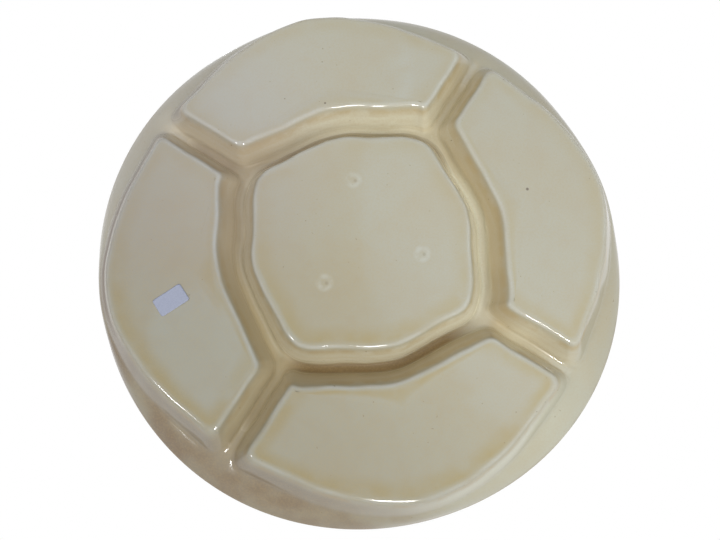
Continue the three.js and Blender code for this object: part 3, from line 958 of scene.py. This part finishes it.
# %% [markdown]
# ## Gloss of the glaze
# Glass over clay mirrors the lamps sharply, except where dust lies in the grooves, fingers smear
# it, and the lip is worn. The foot of a groove, painted dark as shade, mirrors little. The surface
# also ripples by a fraction of a millimetre, which bends the mirrored lines. The ripple is a bump,
# because a mesh that fine would be far too heavy.

# %% Gloss
GLOSS, MIRROR, RIPPLE_DEPTH, RIPPLE_STRENGTH = 0.08, 0.5, 0.2, 0.12

dust = glaze.times(glaze.ramp(pooling, 0.7, 0.95), 0.25)
smears = glaze.times(glaze.ramp(glaze.noise(20), 0.45, 0.75), 0.08)
wear = glaze.calc("ADD", glaze.times(on_lip, 0.4), glaze.times(far_wall, 0.5))
roughness = glaze.calc("ADD", glaze.calc("ADD", dust, smears), glaze.calc("ADD", wear, GLOSS))
mirror = glaze.times(glaze.rest(glaze.times(foot, 0.7)), MIRROR)
ripple = glaze.add("ShaderNodeBump")
ripple.inputs["Strength"].default_value = RIPPLE_STRENGTH
ripple.inputs["Distance"].default_value = RIPPLE_DEPTH * MM
glaze.feed(ripple.inputs["Height"], glaze.times(glaze.noise(9, 2.0), glaze.rest(outer_wall)))
glaze.feed(glaze.surface["Roughness"], roughness)
glaze.feed(glaze.surface["Specular IOR Level"], mirror)
glaze.feed(glaze.surface["Normal"], ripple.outputs[0])
dish.data.materials.append(glaze.owner)
print("the whole glaze has", len(glaze.nodes), "nodes")

# %% [markdown]
# ## Label paper
# Label paper is coated on its free face: a cool white, dull, with faint fibres.

# %% Paper
PAPER_GREY, PAPER_WHITE, PAPER_ROUGHNESS = paint(153, 157, 176), paint(163, 167, 185), 0.6

paper = Finish("label paper", PAPER_GREY)
paper.coat(PAPER_WHITE, paper.ramp(paper.noise(0.5, 4.0), 0.3, 0.7))
paper.feed(paper.surface["Base Color"], paper.colour)
paper.feed(paper.surface["Roughness"], PAPER_ROUGHNESS)
label.data.materials.append(paper.owner)
print("the paper has", len(paper.nodes), "nodes")

# %% [markdown]
# ## Table
# The dish stands on a pale table so that views from above keep its shadow. The main camera looks
# from below, so the table is clear from its back and lets the lamps below it pass.

# %% Table
TABLE_SIZE, TABLE_LEVEL, TABLE_COLOUR = 40.0, -0.3 * MM, paint(236, 236, 236)
CORNERS = ((-1, -1), (1, -1), (1, 1), (-1, 1))

table_mesh = bpy.data.meshes.new("table")
corners = [(x * TABLE_SIZE, y * TABLE_SIZE, TABLE_LEVEL) for x, y in CORNERS]
table_mesh.from_pydata(corners, [], [(0, 1, 2, 3)])
table = bpy.data.objects.new("table", table_mesh)
scene.collection.objects.link(table)
top = Finish("table", TABLE_COLOUR)
top.feed(top.surface["Base Color"], top.colour)
top.feed(top.surface["Roughness"], 0.9)
top.feed(top.surface["Specular IOR Level"], 0.0)
clear = top.add("ShaderNodeBsdfTransparent").outputs[0]
from_below = top.add("ShaderNodeNewGeometry").outputs["Backfacing"]
painted = top.nodes["Principled BSDF"].outputs[0]
both = top.add("ShaderNodeMixShader", from_below, painted, clear)
top.feed(top.nodes["Material Output"].inputs["Surface"], both.outputs[0])
table_mesh.materials.append(top.owner)
table.visible_diffuse = False
table.visible_glossy = False
table.visible_transmission = False
table.visible_shadow = False
print("table lies", -TABLE_LEVEL / MM, "mm below the dish")

# %% [markdown]
# ## Room
# The picture's background is plain white. A white room would flood the dish with light from every
# side, so the room is white only where the camera sees it or the glaze mirrors it, and dim as a
# source of light.

# %% World
ROOM_LEVEL = 0.25

room = Wiring(bpy.data.worlds.new("studio"))
scene.world = room.owner
rays = room.add("ShaderNodeLightPath").outputs
mirrored = room.calc("MAXIMUM", rays["Is Glossy Ray"], rays["Is Transmission Ray"])
seen = room.calc("MAXIMUM", rays["Is Camera Ray"], mirrored)
strength = room.add("ShaderNodeMapRange", seen, 0.0, 1.0, ROOM_LEVEL, 1.0).outputs[0]
background = room.nodes["Background"].inputs
background["Color"].default_value = (1, 1, 1, 1)
room.feed(background["Strength"], strength)
print("the room lights the dish at", ROOM_LEVEL, "of what it shows")

# %% [markdown]
# ## Lamps
# The picture was lit by a wide soft light from its lower right, with weaker light all round. A
# glossy glaze shows a lamp twice: as light spread over it and as a mirror image. The mirror images
# in the picture are three dim windows and two small lamps, which draw thin white lines along the
# edges. Lamps that do only one of the two jobs let each be placed where the picture wants it. They
# stand below the table, and one sun above lights the wells.

# %% Lamps
COOL_WHITE, WINDOW, DEEP_WINDOW = (0.95, 0.98, 1.0), (0.3, 0.6, 1.0), (0.15, 0.55, 1.0)
SPREADING = (
    ("soft light below", (-0.5, -0.52, -0.69), 1.4, 1.0, 9.8, (0.95, 0.985, 0.995)),
    ("fill below", (0.5, 0.5, -0.7), 1.6, 1.4, 4.8, COOL_WHITE),
    ("light by the camera", (-0.05, -0.42, -0.906), 1.0, 0.18, 1.9, (1, 1, 0.96)),
    ("light at the left", (0.62, -0.42, -0.66), 1.0, 0.14, 1.9, (0.97, 0.97, 1)),
)
MIRRORED = (
    ("window at the right", (-0.5, 0.3, -0.81), 1.0, 1.1, 3.2, WINDOW),
    ("window at the top", (0.12, 0.62, -0.775), 1.0, 0.5, 0.65, WINDOW),
    ("window at the left", (0.28, 0.02, -0.96), 1.0, 0.3, 0.26, DEEP_WINDOW),
    ("small lamp at the front", (-0.09, -0.65, -0.755), 1.0, 0.2, 5.0, (1, 1, 1)),
    ("small lamp at the left", (0.66, -0.455, -0.598), 1.0, 0.14, 2.4, (0.95, 0.97, 1)),
)
SUN_WAY, SUN_ENERGY, SUN_ANGLE = (0.3, 0.4, 0.87), 1.9, np.radians(24)


def add_light(data, way):
    """Light object that shines from a direction towards the dish's middle."""
    light = bpy.data.objects.new(data.name, data)
    light.rotation_euler = Vector(way).to_track_quat("Z", "Y").to_euler()
    scene.collection.objects.link(light)
    return light


def add_lamp(name, way, distance, size, power, colour):
    """Round lamp at a distance in metres, unseen by the camera itself."""
    data = bpy.data.lights.new(name, "AREA")
    data.shape = "DISK"
    data.size = size
    data.energy = power
    data.color = colour
    lamp = add_light(data, way)
    lamp.location = Vector(way).normalized() * distance
    lamp.visible_camera = False
    return lamp


for lamp in SPREADING:
    add_lamp(*lamp).visible_glossy = False
for lamp in MIRRORED:
    add_lamp(*lamp).visible_diffuse = False
sun_data = bpy.data.lights.new("wide light above", "SUN")
sun_data.energy = SUN_ENERGY
sun_data.angle = SUN_ANGLE
add_light(sun_data, SUN_WAY)
print(len(SPREADING), "lamps spread light,", len(MIRRORED), "are only mirrored, and one sun shines")
